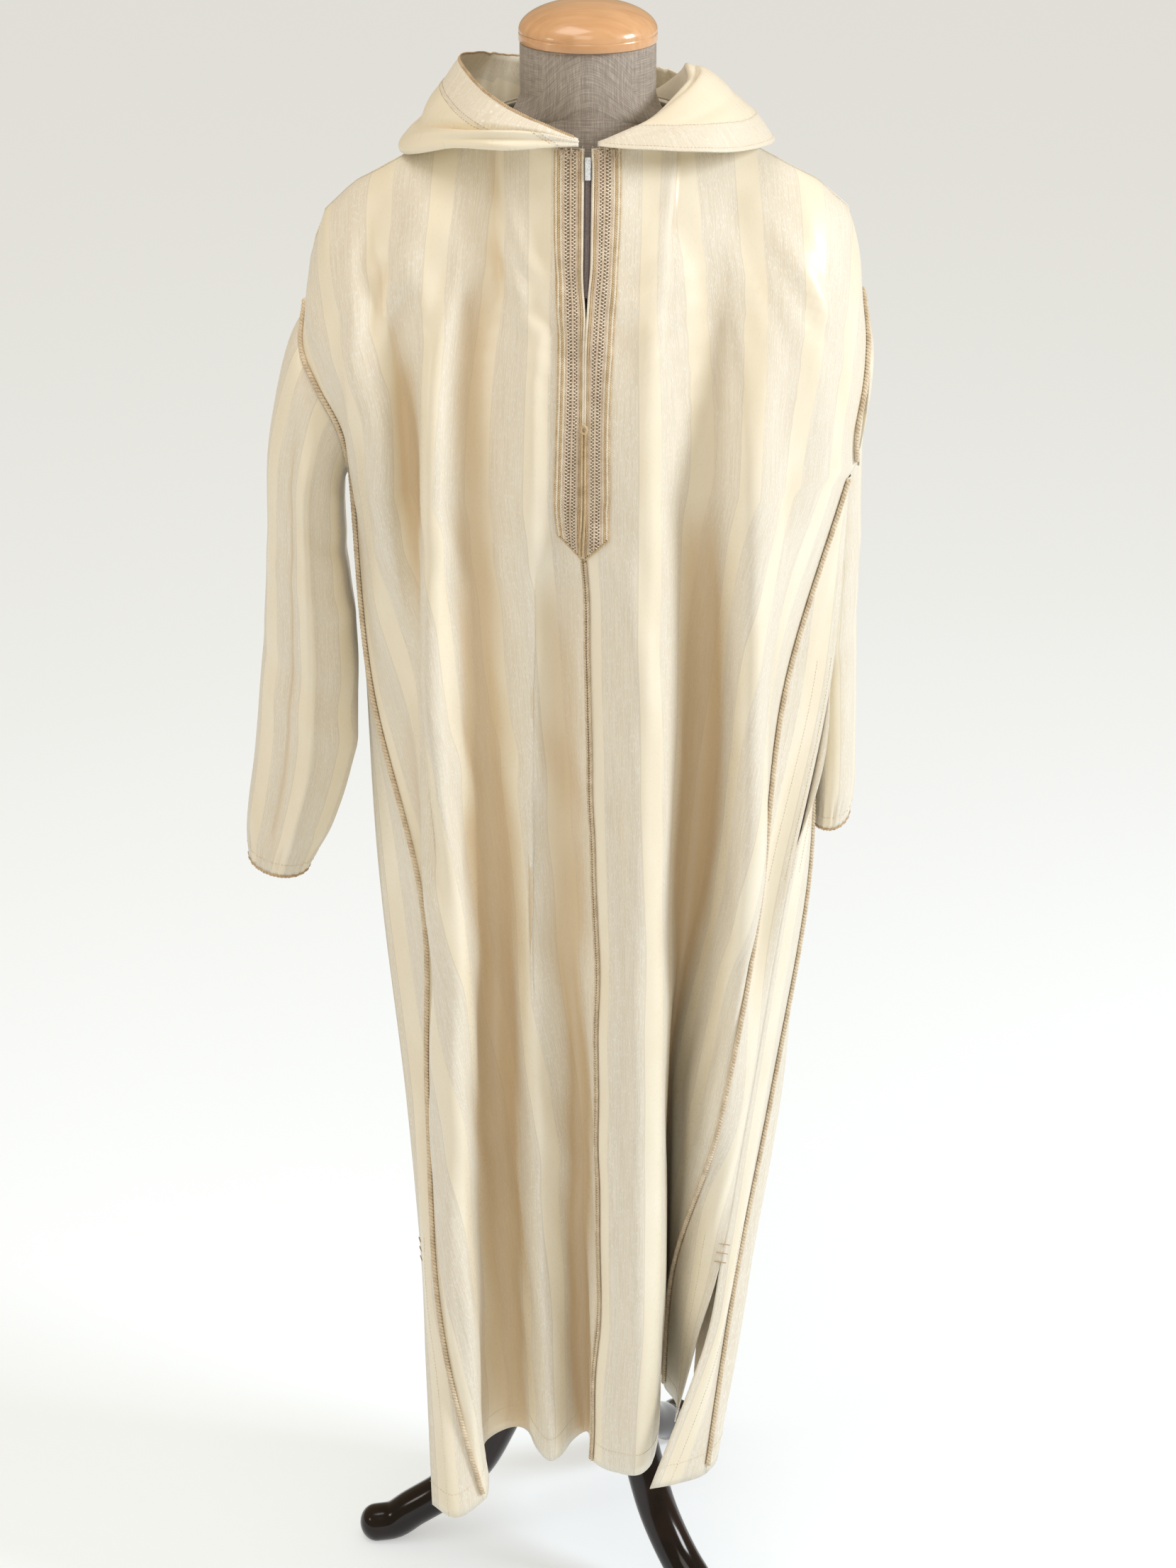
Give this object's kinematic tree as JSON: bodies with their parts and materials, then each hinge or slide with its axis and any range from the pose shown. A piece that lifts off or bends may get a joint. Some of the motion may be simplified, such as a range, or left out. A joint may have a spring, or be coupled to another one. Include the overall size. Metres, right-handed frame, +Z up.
{
  "type": "hooded thobe robe on limbless dress form",
  "caption": "Long cream striped hooded robe with narrow sleeves, corded gore seams, side vents and a braided zip placket, standing on a limbless dress form with a three-legged base.",
  "frame": {"origin": "centre of the bounding box's footprint, on the floor that the three feet stand on", "axes": "+Z up, the wearer's front towards -Y, the wearer's left sleeve towards +X"},
  "size_m": [0.5628, 0.4378, 1.5466],
  "materials": {
    "cream_striped_cloth": "self-striped, satin and slub bands",
    "beige_cord": "twisted",
    "braid": "hand-braided",
    "zip_tape": "woven",
    "zip_metal": "glossy",
    "linen": "plain weave",
    "maple": "varnished",
    "dark_lacquer": "glossy lacquer"
  },
  "bodies": {
    "robe": {"front_left": "cream_striped_cloth", "front_right": "cream_striped_cloth", "back": "cream_striped_cloth", "gore_front_left": "cream_striped_cloth", "gore_front_right": "cream_striped_cloth", "gore_back_left": "cream_striped_cloth", "gore_back_right": "cream_striped_cloth", "sleeve_left": "cream_striped_cloth", "sleeve_right": "cream_striped_cloth", "hood_left": "cream_striped_cloth", "hood_right": "cream_striped_cloth", "cord_front_left": "beige_cord", "cord_front_right": "beige_cord", "cord_back_left": "beige_cord", "cord_back_right": "beige_cord", "cord_centre_front": "beige_cord", "cord_armhole_left": "beige_cord", "cord_armhole_right": "beige_cord", "placket_knot_cord": "beige_cord", "braid_left": "braid", "braid_right": "braid", "zip_tape": "zip_tape", "zip_chain": "zip_tape", "zip_slider": "zip_metal", "form_torso": "linen", "neck_cap": "maple", "pole": "dark_lacquer", "hub": "dark_lacquer", "leg_left": "dark_lacquer", "leg_front": "dark_lacquer", "leg_back": "dark_lacquer"},
    "zip_pull": {"zip_pull": "zip_metal"}
  },
  "joints": [
    {"name": "zip_pull_hinge", "type": "hinge", "parent": "robe", "child": "zip_pull", "pos_m": [0.03011, -0.07342, 1.4307], "axis": [-1, 0, 0], "range_deg": [0, 150]}
  ]
}
